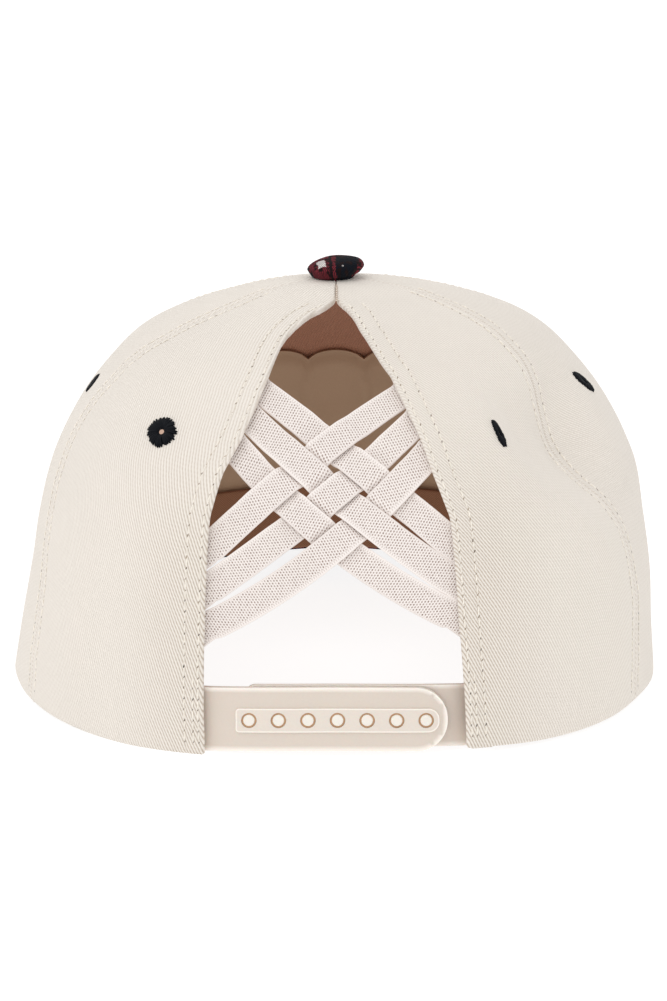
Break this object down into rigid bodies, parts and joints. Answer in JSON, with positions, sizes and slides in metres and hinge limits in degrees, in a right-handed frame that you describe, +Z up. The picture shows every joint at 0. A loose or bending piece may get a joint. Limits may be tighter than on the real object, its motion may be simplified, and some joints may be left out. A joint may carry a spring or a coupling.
{
  "type": "trucker hat",
  "caption": "Curved-visor cap with a laced open back, elastic straps woven across the gap and a plastic snap closure.",
  "frame": {"origin": "centre of the head opening, in the plane of the rim and on the surface that the cap rests on", "axes": "+Z up, +Y towards the visor, +X to the right seen from behind"},
  "size_m": [0.178, 0.2611, 0.1158],
  "materials": {
    "twill": "cream cotton twill",
    "lining": "matte brown lining",
    "band": "matte dark brown band",
    "check": "brushed navy and burgundy woven check",
    "elastic": "pale braided elastic",
    "snap_plastic": "satin beige plastic",
    "thread": "dark navy embroidery"
  },
  "bodies": {
    "root": {"front_panel": "twill", "side_left_panel": "twill", "side_right_panel": "twill", "back_left_panel": "twill", "back_right_panel": "twill", "front_lining": "lining", "sweatband": "band", "visor": "check", "button": "check", "elastic_strap_down_right_1": "elastic", "elastic_strap_down_right_2": "elastic", "elastic_strap_down_right_3": "elastic", "elastic_strap_down_left_1": "elastic", "elastic_strap_down_left_2": "elastic", "elastic_strap_down_left_3": "elastic", "closure_hole_strap": "snap_plastic", "closure_peg_strap": "snap_plastic", "eyelet_back_left": "thread", "eyelet_side_left": "thread", "eyelet_back_right": "thread", "eyelet_side_right": "thread"}
  },
  "joints": []
}
